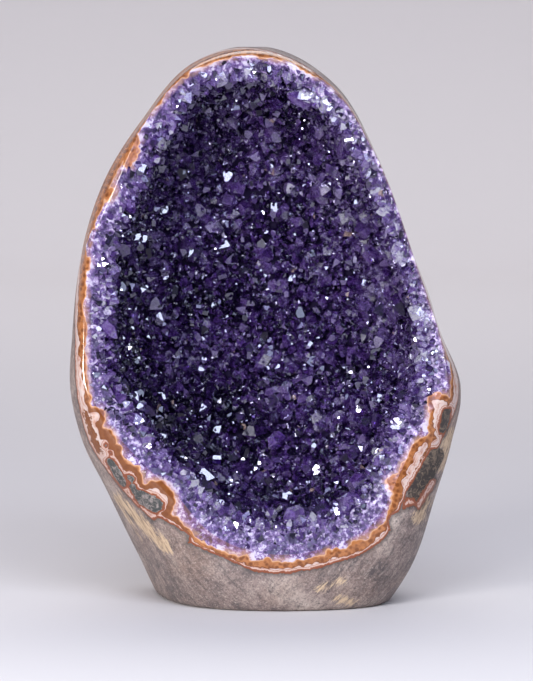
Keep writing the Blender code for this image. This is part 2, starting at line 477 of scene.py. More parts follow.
# The lines along the basalt: each colour and how far from the basalt it lies, as a share of the margin.
MARGIN_MM = 6.0
MARGIN_LINES = (
    (0.00, AGATE_BROWN), (0.10, AGATE_RUST), (0.26, AGATE_RUST), (0.32, AGATE_SALMON), (0.42, AGATE_PINK),
    (0.54, AGATE_SALMON), (0.58, AGATE_RUST), (0.63, AGATE_PINK), (0.90, AGATE_PINK),
)  # fmt: skip
# How much of the agate's width the orange layer takes where the agate is narrow.
ORANGE_SHARE = 0.62
# The basalt's grain: its size, how much it is drawn out, and its slant at the left and at the right.
GRAIN_SIZE = 0.0035
GRAIN_STRETCH = (7.0, 1.0, 1.0)
LEFT_SLANT, RIGHT_SLANT = 48, -52
QUARTZ_IOR = 1.544
AGATE_IOR = 1.54
CRYSTAL_GRAIN = 0.0030


def scalloped(graph, distance, size, reach):
    """A distance field whose edge becomes a row of round lobes, as agate's does."""
    cells = graph.cells(size, "SMOOTH_F1", graph.drawn_out(BEAD_STRETCH), smoothness=0.1)
    dome = graph.math("MULTIPLY", cells, -1.0)
    lobes = graph.math("MULTIPLY", graph.math("ADD", dome, 0.45), reach)
    wave = graph.math("MULTIPLY", graph.math("SUBTRACT", graph.noise(size * 2.5, 2.0), 0.5), reach * 1.5)
    return graph.math("ADD", graph.math("ADD", distance, lobes), wave)


def agate_colour(graph, depth, to_basalt):
    """Orange and brown beads along the quartz, a pink middle, and rust and salmon lines along the basalt."""
    bead = graph.mapped(graph.cells(BEAD_SIZE, place=graph.drawn_out(BEAD_STRETCH)), 0.30, 0.58)
    browner = graph.mapped(graph.attribute("browner_mm"), -6.0, 6.0, 0.0, 0.80)
    beads = graph.blend(bead, AGATE_BROWN, graph.blend(browner, AGATE_ORANGE, AGATE_BROWN))
    grime = graph.mapped(graph.noise(0.005, 4.0, 0.7), 0.40, 0.60, 0.0, 0.6)
    beads = graph.blend(grime, beads, AGATE_BROWN)
    mottle = graph.mapped(graph.noise(0.008, 4.0, 0.6), 0.46, 0.68)
    body = graph.blend(mottle, AGATE_PINK, AGATE_SALMON)
    wander = graph.math("MULTIPLY", graph.noise(0.02, 2.0), 10.0)
    rings = graph.math("SINE", graph.math("ADD", graph.math("MULTIPLY", depth, 1.1), wander))
    body = graph.blend(graph.mapped(rings, 0.90, 1.0, 0.0, 0.5), body, AGATE_RUST)
    body = graph.blend(graph.mapped(rings, -0.2, -1.0, 0.0, 0.45), body, AGATE_CREAM)
    margin = graph.ramp(graph.mapped(to_basalt, 0.0, MARGIN_MM), MARGIN_LINES)
    body = graph.blend(graph.mapped(to_basalt, 4.4, MARGIN_MM), margin, body)
    torn = graph.mapped(graph.noise(0.004, 4.0), 0.3, 0.7, -2.5, 2.5)
    patch = graph.math("ADD", graph.attribute("brown_mm"), torn)
    body = graph.blend(graph.mapped(patch, -0.3, 0.3), body, beads)
    whole = graph.math("ADD", depth, to_basalt)
    narrow = graph.math("MULTIPLY", whole, ORANGE_SHARE)
    orange_width = graph.math("MINIMUM", narrow, graph.attribute("orange_mm"))
    past = graph.math("SUBTRACT", depth, orange_width)
    body = graph.blend(graph.mapped(past, 0.9, 0.5), body, AGATE_BROWN)
    layer = graph.blend(graph.mapped(depth, 0.8, 2.2), AGATE_ORANGE, beads)
    colour = graph.blend(graph.mapped(past, 0.15, -0.15), body, layer)
    return graph.blend(graph.mapped(depth, 1.2, 0.6), colour, AGATE_TAN)


def basalt_colour(graph, depth):
    """(colour, grain): mottled grey-brown, with slanting grain at the sides, and darker along the agate."""
    clouds = graph.noise(0.030, 7.0, 0.72)
    colour = graph.ramp(clouds, [(0.34, BASALT_DARK), (0.48, BASALT_MID), (0.70, BASALT_PALE)])
    side = graph.attribute("right_share")
    left_grain = graph.noise(GRAIN_SIZE, 6.0, 0.75, graph.drawn_out(GRAIN_STRETCH, LEFT_SLANT))
    right_grain = graph.noise(GRAIN_SIZE, 6.0, 0.75, graph.drawn_out(GRAIN_STRETCH, RIGHT_SLANT))
    grain = graph.blend(side, left_grain, right_grain)
    dark = graph.mapped(grain, 0.50, 0.36, 0.0, 0.9)
    colour = graph.blend(dark, colour, BASALT_DARK)
    pale = graph.mapped(grain, 0.54, 0.66, 0.0, 0.7)
    colour = graph.blend(pale, colour, BASALT_PALE)
    rusty = graph.mapped(graph.noise(0.05, 4.0), 0.50, 0.68, 0.0, 0.35)
    colour = graph.blend(rusty, colour, BASALT_RUSTY)
    specks = graph.mapped(graph.noise(0.0022, 2.0), 0.62, 0.70, 0.0, 0.6)
    colour = graph.blend(specks, colour, BASALT_PALE)
    fine = graph.noise(0.0016, 3.0, 0.65)
    colour = graph.blend(graph.mapped(fine, 0.49, 0.36, 0.0, 0.55), colour, BASALT_DARK)
    colour = graph.blend(graph.mapped(fine, 0.53, 0.64, 0.0, 0.35), colour, BASALT_PALE)
    shade = graph.mapped(graph.noise(0.012, 6.0, 0.75), 0.48, 0.34, 0.0, 0.55)
    colour = graph.blend(shade, colour, BASALT_DARK)
    # Small dark spots: painted shade in the basalt's pits.
    painted_pit_shade = graph.mapped(graph.cells(0.014), 0.11, 0.05, 0.0, 0.8)
    colour = graph.blend(painted_pit_shade, colour, BASALT_DARK)
    streaky = graph.blend(graph.mapped(grain, 0.40, 0.56), OCHRE_DARK, OCHRE)
    torn = graph.math("MULTIPLY", graph.math("SUBTRACT", grain, 0.5), 34.0)
    vein = graph.mapped(graph.math("ADD", graph.attribute("ochre_mm"), torn), -2.0, 1.5, 0.0, 0.9)
    colour = graph.blend(vein, colour, streaky)
    inclusion = graph.blend(side, INCLUSION_GREY, INCLUSION_BROWN)
    fringe = graph.mapped(depth, 3.5, 0.0, 0.0, 0.75)
    colour = graph.blend(fringe, colour, inclusion)
    veins = graph.mapped(graph.noise(0.0060, 4.0, 0.7, distortion=1.5), 0.48, 0.62)
    inclusion = graph.blend(veins, inclusion, graph.blend(side, INCLUSION_VEIN, INCLUSION_BROWN_VEIN))
    inner_edge = graph.mapped(graph.attribute("inclusion_mm"), -0.4, 0.2, 0.7, 0.0)
    inner_edge = graph.math("MULTIPLY", inner_edge, graph.math("SUBTRACT", 1.0, side))
    inclusion = graph.blend(inner_edge, inclusion, INCLUSION_RIM)
    return graph.blend(graph.mapped(graph.attribute("inclusion_mm"), -2.0, -1.0), colour, inclusion), grain


def milky_colour(graph, depth):
    """Quartz by its depth from the agate: white and lilac, then violet, with white frost and amber stains."""
    tone = graph.mapped(depth, -6.0, 14.0)
    patches = graph.mapped(graph.noise(0.009, 6.0, 0.75), 0.36, 0.64, -0.75, 0.75)
    grains = graph.mapped(graph.cells(CRYSTAL_GRAIN, output="Color"), 0.0, 1.0, -0.30, 0.30)
    tone = graph.math("ADD", graph.math("ADD", tone, patches), grains)
    colour = graph.ramp(tone, [
        (0.00, QUARTZ_WHITE), (0.22, QUARTZ_LILAC), (0.60, QUARTZ_VIOLET), (0.95, QUARTZ_SHADOW),
    ])  # fmt: skip
    crystals = graph.mapped(graph.noise(0.0022, 4.0, 0.7), 0.54, 0.62, 0.0, 0.8)
    frosted = graph.mapped(graph.noise(0.012, 3.0), 0.48, 0.60)
    colour = graph.blend(graph.math("MULTIPLY", crystals, frosted), colour, QUARTZ_WHITE)
    stained = graph.mapped(graph.noise(0.018, 3.0), 0.36, 0.54)
    stain = graph.math("MULTIPLY", graph.mapped(depth, 4.5, 0.5), stained)
    return graph.blend(graph.math("MULTIPLY", stain, 0.6), colour, QUARTZ_AMBER)


def broken_normal(graph, amount):
    """A normal tilted a little in each grain, so that broken crystal glints."""
    normal = graph.add("ShaderNodeNewGeometry").outputs["Normal"]
    grain = graph.cells(CRYSTAL_GRAIN, output="Color")
    centred = graph.add("ShaderNodeVectorMath", operation="SUBTRACT")
    graph.plug(centred.inputs[0], grain)
    centred.inputs[1].default_value = (0.5, 0.5, 0.5)
    tilt = graph.add("ShaderNodeVectorMath", operation="SCALE")
    graph.plug(tilt.inputs[0], centred.outputs[0])
    tilt.inputs["Scale"].default_value = amount
    tilted = graph.add("ShaderNodeVectorMath", operation="ADD")
    graph.plug(tilted.inputs[0], normal)
    graph.plug(tilted.inputs[1], tilt.outputs[0])
    unit = graph.add("ShaderNodeVectorMath", operation="NORMALIZE")
    graph.plug(unit.inputs[0], tilted.outputs[0])
    return unit.outputs[0]


def banded(graph):
    """(agate and basalt colour, share of quartz, share of basalt, basalt's grain)."""
    agate = scalloped(graph, graph.attribute("agate_mm"), *LARGE_LOBES)
    agate = scalloped(graph, agate, *SMALL_LOBES)
    ragged = graph.math("MULTIPLY", graph.math("SUBTRACT", graph.noise(0.007, 5.0, 0.65), 0.5), 6.5)
    basalt = graph.math("ADD", graph.attribute("basalt_mm"), ragged)
    stone, grain = basalt_colour(graph, basalt)
    bands = agate_colour(graph, agate, graph.math("MULTIPLY", basalt, -1.0))
    in_basalt = graph.mapped(basalt, -0.15, 0.15)
    in_quartz = graph.mapped(agate, 0.15, -0.15)
    return graph.blend(in_basalt, bands, stone), in_quartz, in_basalt, grain


def inward_mm(graph, most):
    """How far in from the agate a place lies, up to this many millimetres."""
    return graph.math("MINIMUM", graph.math("MULTIPLY", graph.attribute("agate_mm"), -1.0), most)


def stone_material():
    """Polished agate and basalt: glossy at the rim, satin where the agate is wide, and rough on the rind."""
    graph = Graph("polished_stone")
    colour, in_quartz, in_basalt, grain = banded(graph)
    colour = graph.blend(in_quartz, colour, milky_colour(graph, inward_mm(graph, 3.0)))
    rough = graph.attribute("rind")
    humps = graph.math("MULTIPLY", graph.noise(0.02, 4.0), 2.0)
    height = graph.math("ADD", graph.noise(0.006, 5.0, 0.6), humps)
    normal = graph.bump(graph.math("MULTIPLY", height, rough), 0.004)
    scratches = graph.math("MULTIPLY", grain, in_basalt)
    normal = graph.bump(scratches, 0.00015, 0.6, normal)
    satin = graph.math("MAXIMUM", rough, graph.mapped(graph.attribute("agate_mm"), 9.0, 20.0, 0.0, 0.8))
    roughness = graph.mapped(in_basalt, 0, 1, 0.14, 0.34)
    roughness = graph.math("ADD", roughness, graph.math("MULTIPLY", satin, 0.30))
    glossy = graph.math("SUBTRACT", 1.0, satin)
    coat = graph.math("MULTIPLY", glossy, graph.mapped(in_basalt, 0, 1, 0.45, 0.25))
    graph.shader.inputs["Coat Roughness"].default_value = 0.06
    graph.shader.inputs["Specular IOR Level"].default_value = 0.35
    graph.shader.inputs["IOR"].default_value = AGATE_IOR
    return graph.set(Base_Color=colour, Roughness=roughness, Normal=normal, Coat_Weight=coat)


def painted_shade_floor_material():
    """Near-black quartz that the points grow from, seen only in the gaps between them: painted shade."""
    graph = Graph("painted_shade_quartz")
    graph.shader.inputs["Specular IOR Level"].default_value = 0.1
    return graph.set(Base_Color=PAINTED_SHADE_FLOOR, Roughness=0.8)


def quartz_material():
    """Milky quartz with the agate's lobes on it."""
    graph = Graph("milky_quartz")
    colour, in_quartz, _, _ = banded(graph)
    colour = graph.blend(in_quartz, colour, milky_colour(graph, inward_mm(graph, 6.0)))
    graph.shader.inputs["IOR"].default_value = QUARTZ_IOR
    graph.shader.inputs["Specular Tint"].default_value = (0.75, 0.68, 1.0, 1.0)
    return graph.set(
        Base_Color=colour,
        Roughness=0.30,
        Transmission_Weight=graph.math("MULTIPLY", in_quartz, 0.2),
        Normal=broken_normal(graph, 0.28),
    )


# How a point's faces run from near black to white, and the few peach ones that carry a painted warm
# reflection; the white end also serves the painted sheen.
CRYSTAL_TONES = (
    (0.00, (0.008, 0.005, 0.024)),
    (0.12, (0.034, 0.012, 0.100)),
    (0.24, (0.110, 0.042, 0.285)),
    (0.34, (0.260, 0.145, 0.490)),
    (0.45, (0.400, 0.320, 0.640)),
    (0.58, (0.880, 0.860, 0.970)),
    (0.76, (0.880, 0.860, 0.970)),
    (0.86, (0.780, 0.540, 0.480)),
)
TONE_RANGE = 1.8
# The tone of the peach faces, a painted warm reflection.
PAINTED_WARM_REFLECTION_TONE = 1.75
# What the points are made of, from violet to pale: name, absorption's colour and density, and transmission.
TINTS = (
    ("amethyst_deep", (0.38, 0.20, 0.78), 90.0, 0.72),
    ("amethyst", (0.48, 0.32, 0.84), 65.0, 0.72),
    ("amethyst_pale", (0.70, 0.60, 0.92), 35.0, 0.65),
)


def crystal_material(name, absorbed, density, transmission):
    """Clear crystal: transmission, quartz's own IOR, and absorption that colours it through its thickness."""
    graph = Graph(name)
    flaws = graph.mapped(graph.cells(0.0018, output="Color"), 0.0, 1.0, -0.10, 0.10)
    clouds = graph.mapped(graph.noise(0.0038, 5.0, 0.72), 0.3, 0.7, -0.26, 0.26)
    tone = graph.math("ADD", graph.attribute("tone"), graph.math("ADD", flaws, clouds))
    graph.shader.inputs["IOR"].default_value = QUARTZ_IOR
    graph.shader.inputs["Specular IOR Level"].default_value = 1.0
    graph.shader.inputs["Specular Tint"].default_value = (0.66, 0.68, 1.0, 1.0)
    graph.shader.inputs["Coat Weight"].default_value = 0.7
    graph.shader.inputs["Coat IOR"].default_value = 1.85
    graph.shader.inputs["Coat Roughness"].default_value = 0.03
    volume = graph.add("ShaderNodeVolumeAbsorption")
    volume.inputs["Color"].default_value = (*absorbed, 1.0)
    volume.inputs["Density"].default_value = density
    graph.tree.links.new(volume.outputs[0], graph.output.inputs["Volume"])
    return graph.set(
        Base_Color=graph.ramp(graph.math("DIVIDE", tone, TONE_RANGE), CRYSTAL_TONES),
        Roughness=0.03,
        Transmission_Weight=transmission,
        Normal=broken_normal(graph, 0.05),
        Coat_Normal=broken_normal(graph, 0.05),
    )


def stone_rings():
    """The stone from the back's middle to the face, with how rough each point is."""
    back_angles = np.linspace(QUARTER, 0, BACK_RINGS + 1)[1:]
    edge_angles = np.linspace(QUARTER, 0, EDGE_RINGS + 1)[1:]
    back = grid(back_point, back_angles)
    turn, angle = np.meshgrid(np.arange(TURNS) * TAU / TURNS, back_angles)
    outward = np.stack([np.cos(turn) * np.cos(angle), np.sin(angle), np.sin(turn) * np.cos(angle)], axis=-1)
    lumps = np.array([noise.noise(Vector(p)) for p in back.reshape(-1, 3) / LUMP_SIZE]).reshape(turn.shape)
    swell = LUMP_HEIGHT * lumps * np.minimum(1.0, 2 * np.sin(angle))
    rind = np.clip((np.sin(angle) - RIND_START) / RIND_SPREAD, 0, 1)
    worn = smooth_noise(back, WEAR_SIZE, WEAR_OCTAVES)
    back = back + (swell - rind * RIND_WEAR * (1 + worn))[..., None] * outward
    edge = grid(edge_point, edge_angles)
    rough = np.concatenate([rind, np.zeros(edge.shape[:2])])
    return np.concatenate([back, edge]), rough


def plan(points):
    """Millimetres right of and above the face's centre, as seen from the front."""
    return np.stack([points[..., 0], points[..., 2] - CENTRE_Z], axis=-1) / MM


def from_line(places, start, end):
    """How far each place is from the line between two points."""
    start, end = np.array(start, float), np.array(end, float)
    along = end - start
    share = np.clip((places - start) @ along / (along @ along), 0, 1)
    return np.linalg.norm(places - start - share[..., None] * along, axis=-1)


def band_fields(points, outward, turn):
    """A surface's attributes, for points this far outward from the agate's edge, in millimetres.

    Each is a distance, positive inside agate, basalt or a kind of mark, or how far right a point lies.
    """
    places = plan(points)
    agate = outward + around(AGATE_INWARD, turn)
    basalt = outward - around(AGATE_WIDTH, turn)
    front = points[..., 1] < FACE_Y + LEAN * points[..., 2] + FRONT_DEPTH

    def inside(marks):
        """How deep each place lies in the nearest of these marks; far outside on the back."""
        deepest = np.max([reach - from_line(places, start, end) for start, end, reach in marks], axis=0)
        return np.where(front, deepest, FAR_OUTSIDE)

    agate = np.maximum(agate, inside(AGATE_LOBES))
    inclusion = inside(INCLUSIONS)
    basalt = np.minimum(np.maximum(basalt, inclusion), -inside(AGATE_STREAKS))
    basalt = np.maximum(basalt, inside(BASALT_TONGUES))
    return {
        "agate_mm": agate,
        "basalt_mm": basalt,
        "orange_mm": around(ORANGE_WIDTH, turn),
        "brown_mm": inside(BROWN_PATCHES),
        "browner_mm": inside(BROWNER),
        "inclusion_mm": inclusion,
        "ochre_mm": inside(OCHRE_VEINS),
        "right_share": np.clip(0.5 + points[..., 0] / GRAIN_TURNS_OVER, 0, 1),
    }


def round_foot(points):
    """Rounds the sawn edge: points just above the base move in a little."""
    height = np.clip(points[:, 2], 0, FOOT_ROUNDING)
    inset = FOOT_ROUNDING - np.sqrt(FOOT_ROUNDING**2 - (FOOT_ROUNDING - height) ** 2)
    outward = points[:, :2] / np.maximum(1e-6, np.linalg.norm(points[:, :2], axis=1))[:, None]
    points[:, :2] -= outward * inset[:, None]
    return points


def cut_base(stone):
    """Saws the stone off level at the base, and closes the cut."""
    bm = bmesh.new()
    bm.from_mesh(stone.data)
    everything = bm.verts[:] + bm.edges[:] + bm.faces[:]
    bmesh.ops.bisect_plane(bm, geom=everything, plane_co=(0, 0, 0), plane_no=(0, 0, 1), clear_inner=True)
    open_edges = [edge for edge in bm.edges if edge.is_boundary]
    bmesh.ops.contextual_create(bm, geom=open_edges)
    bmesh.ops.recalc_face_normals(bm, faces=bm.faces[:])
    bm.to_mesh(stone.data)
    bm.free()


def make_stone():
    """The stone's body: the rind, the polished edge, and the hollow that the crust fills."""
    rings, rough = stone_rings()
    steps = np.linalg.norm(np.diff(rings, axis=0), axis=-1) / MM
    outward = np.concatenate([np.cumsum(steps[::-1], axis=0)[::-1], np.zeros((1, TURNS))])
    hollow = grid(hollow_point, np.linspace(0, QUARTER, HOLLOW_RINGS + 2)[1:-1])
    middle = back_point(np.array([0.0]), np.array([QUARTER]))
    deepest = hollow_point(np.array([0.0]), np.array([QUARTER]))
    points = np.concatenate([rings.reshape(-1, 3), hollow.reshape(-1, 3), middle, deepest])
    hidden = len(points) - outward.size
    outward = np.concatenate([outward.reshape(-1), np.full(hidden, HIDDEN_IN_STONE)])
    turn = np.resize(np.arange(TURNS) * TAU / TURNS, len(points))
    faces = closed_faces(len(rings) + len(hollow))
    fields = band_fields(points, outward, turn)
    fields["rind"] = np.concatenate([rough.reshape(-1), np.ones(hidden)])
    for name in ("agate_mm", "basalt_mm"):
        fields[name][-2] = outward[0] + FAR_INSIDE
    points = keep_in_cad_box(round_foot(points))
    stone = add_mesh("polished_stone_shell", points, faces, stone_material(), fields)
    cut_base(stone)
    stone.data.shade_smooth()
    stone.data.set_sharp_from_angle(angle=SHARP_ANGLE)
    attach(stone, "root")
    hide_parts("stone_shell")


def make_crust():
    """The crust's body: its back along the stone, the polished lip, and the floor under the points."""
    back_angles = np.linspace(QUARTER, 0, HOLLOW_RINGS + 2)[1:]
    back = grid(lambda turn, angle: hollow_point(turn, angle, CLEARANCE), back_angles)
    share = np.linspace(0, 1, LIP_RINGS + 1)
    lip = grid(lip_point, share)
    floor = grid(floor_point, np.linspace(0, QUARTER, FLOOR_RINGS + 2)[1:-1])
    deepest = hollow_point(np.array([0.0]), np.array([QUARTER]), CLEARANCE)
    bottom = floor_point(np.array([0.0]), np.array([QUARTER]))
    rings = np.concatenate([back, lip, floor])
    points = np.concatenate([rings.reshape(-1, 3), deepest, bottom])
    turn = np.resize(np.arange(TURNS) * TAU / TURNS, len(points))
    faces = closed_faces(len(rings))
    widths = lip_width(turn[:TURNS]) / MM
    outward = np.full(len(points), HIDDEN_IN_CRUST)
    outward[len(back) * TURNS:(len(back) + len(lip)) * TURNS] = (-share[:, None] * widths).reshape(-1)
    fields = band_fields(points, outward, turn)
    crust = add_mesh("quartz_crust", keep_in_cad_box(points), faces, quartz_material(), fields)
    crust.data.materials.append(painted_shade_floor_material())
    # The floor past the bright rings gets the painted shade.
    first_painted_shade = (len(back) + len(lip) + BRIGHT_RINGS) * TURNS
    dark = [min(face) >= first_painted_shade for face in faces]
    crust.data.polygons.foreach_set("material_index", np.array(dark, np.int32))
    crust.data.shade_smooth()
    crust.data.set_sharp_from_angle(angle=SHARP_ANGLE)
    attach(crust, "root")
    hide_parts("crystal_crust")


# The points: how many shapes they share, and the sizes they come in.
SHAPES = 24
# How far behind the face they stay, how much their paleness varies, how far paleness takes them to white,
# how much their faces differ, and how strong their painted shade is, darker to the left and below, with
# random patches.
INNER = {"gap": (0.0004, 0.0030), "spread": 0.16, "whiter": 0.36, "faces": 0.15, "shade": 1.0}
POINT_KINDS = (
    {"spacing": 0.0122, "radius": (0.0058, 0.0088), "rise": (0.0082, 0.0128), "lean": 0.50, **INNER},
    {"spacing": 0.0074, "radius": (0.0038, 0.0056), "rise": (0.0065, 0.0110), "lean": 0.60, **INNER},
    {"spacing": 0.0043, "radius": (0.0022, 0.0036), "rise": (0.0045, 0.0092), "lean": 0.70, **INNER},
)
# Tiny points that grew on the others' sides.
LATE_POINTS = {
    "spacing": 0.0068, "radius": (0.0008, 0.0018), "rise": (0.0062, 0.0105), "lean": 0.90, **INNER,
}  # fmt: skip
RIM_POINTS = {
    "spacing": 0.0044, "radius": (0.0024, 0.0054), "rise": (0.0010, 0.0034), "lean": 0.50,
    "gap": (0.0001, 0.0008), "spread": 0.36, "whiter": 0.50, "faces": 0.22, "shade": 0.3,
}  # fmt: skip
RIM_TRIES = 12000
POINT_TRIES = 110000
FORWARD_LEAN = 0.35
RIM_CLEARANCE = 0.001
AGATE_CLEARANCE = -2.5
# Sites are kept apart with the help of a grid of cells, as wide as the widest spacing.
CELL = POINT_KINDS[0]["spacing"]
NEIGHBOURS = tuple(itertools.product((-1, 0, 1), repeat=3))
# How far behind the face the points stay pale, every 45 degrees.
PALE_DEPTH = (0.007, 0.006, 0.006, 0.007, 0.007, 0.011, 0.010, 0.013)
# Painted reflections: the share of faces made paler by a painted sheen, and the few made peach.
PAINTED_SHEEN_SHARE = 0.13
PAINTED_WARM_REFLECTION_SHARE = 0.004
# A crystal of unit radius: its pyramid faces' slope, its length, and where its planes may lie.
# Three pyramid faces lead and meet in the tip; the other three lie further out and stay small.
PYRAMID_SLOPE = math.radians(51.8)
PRISM_BELOW_TIP = 2.6
SIDE_DISTANCE = (0.78, 1.0)
LEADING_OFFSET = (0.0, 0.10)
SMALL_OFFSET = (0.08, 0.36)
NO_VOLUME = 1e-6
ON_PLANE = 1e-7
SAME_CORNER = 1e-5
# A point's tone deep in the hollow, and its painted shade: how much darker it is for each metre to the left
# and below, and lighter to the right and above.
DEEP_TONE = 0.26
PAINTED_SHADE_LEFT = 0.9
PAINTED_SHADE_BELOW = 0.35
SHADE_PATCHES = (0.045, 0.30)
TONE_SPREAD = 0.09
LEAST_PALE, MOST_PALE = -0.15, 1.2
# How much paler the painted sheen makes a face's tone.
PAINTED_SHEEN_TONE = 0.36
# The paleness at which a point is made of the next tint.
TINT_STEPS = (0.12, 0.5)
PALE_PATCHES = (0.014, 0.4)
RIM_PALE_PATCHES = (0.012, 1.5)
RIM_PALENESS, RIM_PALE_FALL = 0.70, 0.55
RIM_FROM = 0.22
RIM_FORWARD = 1.6
SEED = 11


def crystal_planes(rng):
    """A quartz crystal's planes, its tip near 0: a base, and six sides, each with a pyramid face above it."""
    planes = [(Vector((0, 0, -1)), PRISM_BELOW_TIP)]
    for i in range(6):
        azimuth = i * TAU / 6
        out = Vector((math.cos(azimuth), math.sin(azimuth), 0))
        slant = out * math.sin(PYRAMID_SLOPE) + Vector((0, 0, math.cos(PYRAMID_SLOPE)))
        offset = rng.uniform(*(LEADING_OFFSET if i % 2 else SMALL_OFFSET))
        planes.append((out, rng.uniform(*SIDE_DISTANCE)))
        planes.append((slant, offset))
    return planes


def in_turn(face, corners, normal):
    """A face's corner numbers, sorted round its normal."""
    middle = sum((corners[k] for k in face), np.zeros(3)) / len(face)
    side = Vector(corners[face[0]] - middle).normalized()
    other = normal.cross(side)

    def azimuth(k):
        out = Vector(corners[k] - middle)
        return math.atan2(other.dot(out), side.dot(out))

    return sorted(face, key=azimuth)


def crystal_shape(rng):
    """(points, faces) of the solid that the planes enclose."""
    planes = crystal_planes(rng)
    corners = []
    on = []
    for trio in itertools.combinations(range(len(planes)), 3):
        matrix = np.array([planes[i][0] for i in trio])
        if abs(np.linalg.det(matrix)) < NO_VOLUME:
            continue
        point = np.linalg.solve(matrix, [planes[i][1] for i in trio])
        gaps = np.array([n.dot(Vector(point)) - d for n, d in planes])
        if gaps.max() < ON_PLANE:
            near = [k for k, c in enumerate(corners) if np.linalg.norm(c - point) < SAME_CORNER]
            if near:
                on[near[0]] |= set(trio)
            else:
                corners.append(point)
                on.append(set(trio))
    faces = []
    for number, (normal, _) in enumerate(planes):
        face = [k for k, own in enumerate(on) if number in own]
        if len(face) >= 3:
            faces.append(in_turn(face, corners, normal))
    points = np.array(corners)
    return points - [0, 0, points[:, 2].max()], faces


def keep_apart(places, spacing, kept):
    """The numbers of the places that lie further than the spacing from all those kept, which are added to."""
    cells = np.floor(places / CELL).astype(int)
    chosen = []
    for number, (place, home) in enumerate(zip(places.tolist(), cells.tolist())):
        near = (kept.get((home[0] + i, home[1] + j, home[2] + k), ()) for i, j, k in NEIGHBOURS)
        if all(math.dist(place, other) > spacing for group in near for other in group):
            kept.setdefault(tuple(home), []).append(place)
            chosen.append(number)
    return chosen


def spread_sites(rng):
    """For each kind of point, the (turn, angle) of its sites: large ones first, small ones between them."""
    kept = {}
    found = []
    for kind in POINT_KINDS:
        tries = rng.uniform((0, 0), (TAU, QUARTER), (POINT_TRIES, 2))
        found.append(tries[keep_apart(floor_point(tries[:, 0], tries[:, 1]), kind["spacing"], kept)])
    return found


def turned_to(normal, spin, lean, azimuth):
    """The rotation that takes +Z to a direction leaning off the normal."""
    to_normal = Vector(normal).to_track_quat("Z", "Y")
    tilt = Euler((lean * math.cos(azimuth), lean * math.sin(azimuth), 0)).to_quaternion()
    return np.array((to_normal @ tilt @ Euler((0, 0, spin)).to_quaternion()).to_matrix())


def inside_rim(points, gap):
    """A point's corners moved back behind the polished face, and in from the stone round it."""
    points[:, 1] += max(0.0, (FACE_Y + LEAN * points[:, 2] + gap - points[:, 1]).max())
    x, z = points[:, 0], points[:, 2] - CENTRE_Z
    radius = np.hypot(x, z)
    most = around(AGATE_R, np.arctan2(z, x) % TAU) - RIM_CLEARANCE
    share = np.minimum(1.0, most / np.maximum(radius, MM))
    points[:, 0] = x * share
    points[:, 2] = CENTRE_Z + z * share
    return points


def face_tones(rng, own, spread, faces):
    """Each face's own tone: most near the point's, some paler with a painted sheen for facets that reflect
    the room, a few peach with a painted warm reflection.
    """
    painted_sheen = rng.random(faces) < PAINTED_SHEEN_SHARE
    tones = own + rng.normal(0, spread, faces) + PAINTED_SHEEN_TONE * painted_sheen
    return np.where(rng.random(faces) < PAINTED_WARM_REFLECTION_SHARE, PAINTED_WARM_REFLECTION_TONE, np.minimum(tones, 1.0)).tolist()


def tint_number(paleness):
    return sum(paleness >= step for step in TINT_STEPS)


def placed_point(rng, shape, kind, place, normal):
    """A shape's corners, turned, sized and moved to a place on the crust."""
    rotation = turned_to(normal, rng.uniform(0, TAU), abs(rng.normal(0, kind["lean"])), rng.uniform(0, TAU))
    tip = place + normal / np.linalg.norm(normal) * rng.uniform(*kind["rise"])
    points = shape * rng.uniform(*kind["radius"]) @ rotation.T + tip
    return inside_rim(points, rng.uniform(*kind["gap"]))


def add_points(name, rng, shapes, kind, places, normals, palenesses, tints):
    """One piece: a crystal at each place, leaning at random off its normal."""
    points = []
    faces = []
    tones = []
    tints_used = []
    count = 0
    # Painted shade: points to the left and below are darker, those to the right and above lighter, with
    # random patches on top.
    painted_shade_and_patches = PAINTED_SHADE_LEFT * places[:, 0] + PAINTED_SHADE_BELOW * (places[:, 2] - CENTRE_Z)
    painted_shade_and_patches = kind["shade"] * (painted_shade_and_patches + patchy(places, *SHADE_PATCHES))
    for place, normal, paleness, shade in zip(places, normals, palenesses, painted_shade_and_patches):
        shape, sides = shapes[rng.integers(SHAPES)]
        placed = placed_point(rng, shape, kind, place, normal)
        points.append(placed)
        faces += [[count + k for k in side] for side in sides]
        pale = paleness + rng.normal(0, kind["spread"])
        tints_used += [tint_number(pale)] * len(sides)
        own = DEEP_TONE + shade + kind["whiter"] * min(max(pale, LEAST_PALE), MOST_PALE)
        own += rng.normal(0, TONE_SPREAD)
        tones += face_tones(rng, own, kind["faces"], len(sides))
        count += len(placed)
    made = add_mesh(name, keep_in_cad_box(np.concatenate(points)), faces, tints[0])
    for tint in tints[1:]:
        made.data.materials.append(tint)
    made.data.polygons.foreach_set("material_index", np.array(tints_used, np.int32))
    made.data.attributes.new("tone", "FLOAT", "FACE").data.foreach_set("value", np.array(tones, np.float32))
    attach(made, "root")
    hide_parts("crystal_crust")


def patchy(places, size, amount):
    """A smooth random offset over the places."""
    return np.array([amount * noise.noise(Vector(place) / size) for place in places])


def rim_sites(rng):
    """(turn, share of the lip's width) of the small points that stand on the lip, clear of the agate."""
    tries = rng.uniform((0, RIM_FROM), (TAU, 1.0), (RIM_TRIES, 2))
    turn, share = tries.T
    places = lip_point(turn, share)
    inward = share * lip_width(turn) / MM
    clear = band_fields(places, -inward, turn)["agate_mm"] < AGATE_CLEARANCE
    return tries[clear][keep_apart(places[clear], RIM_POINTS["spacing"], {})]


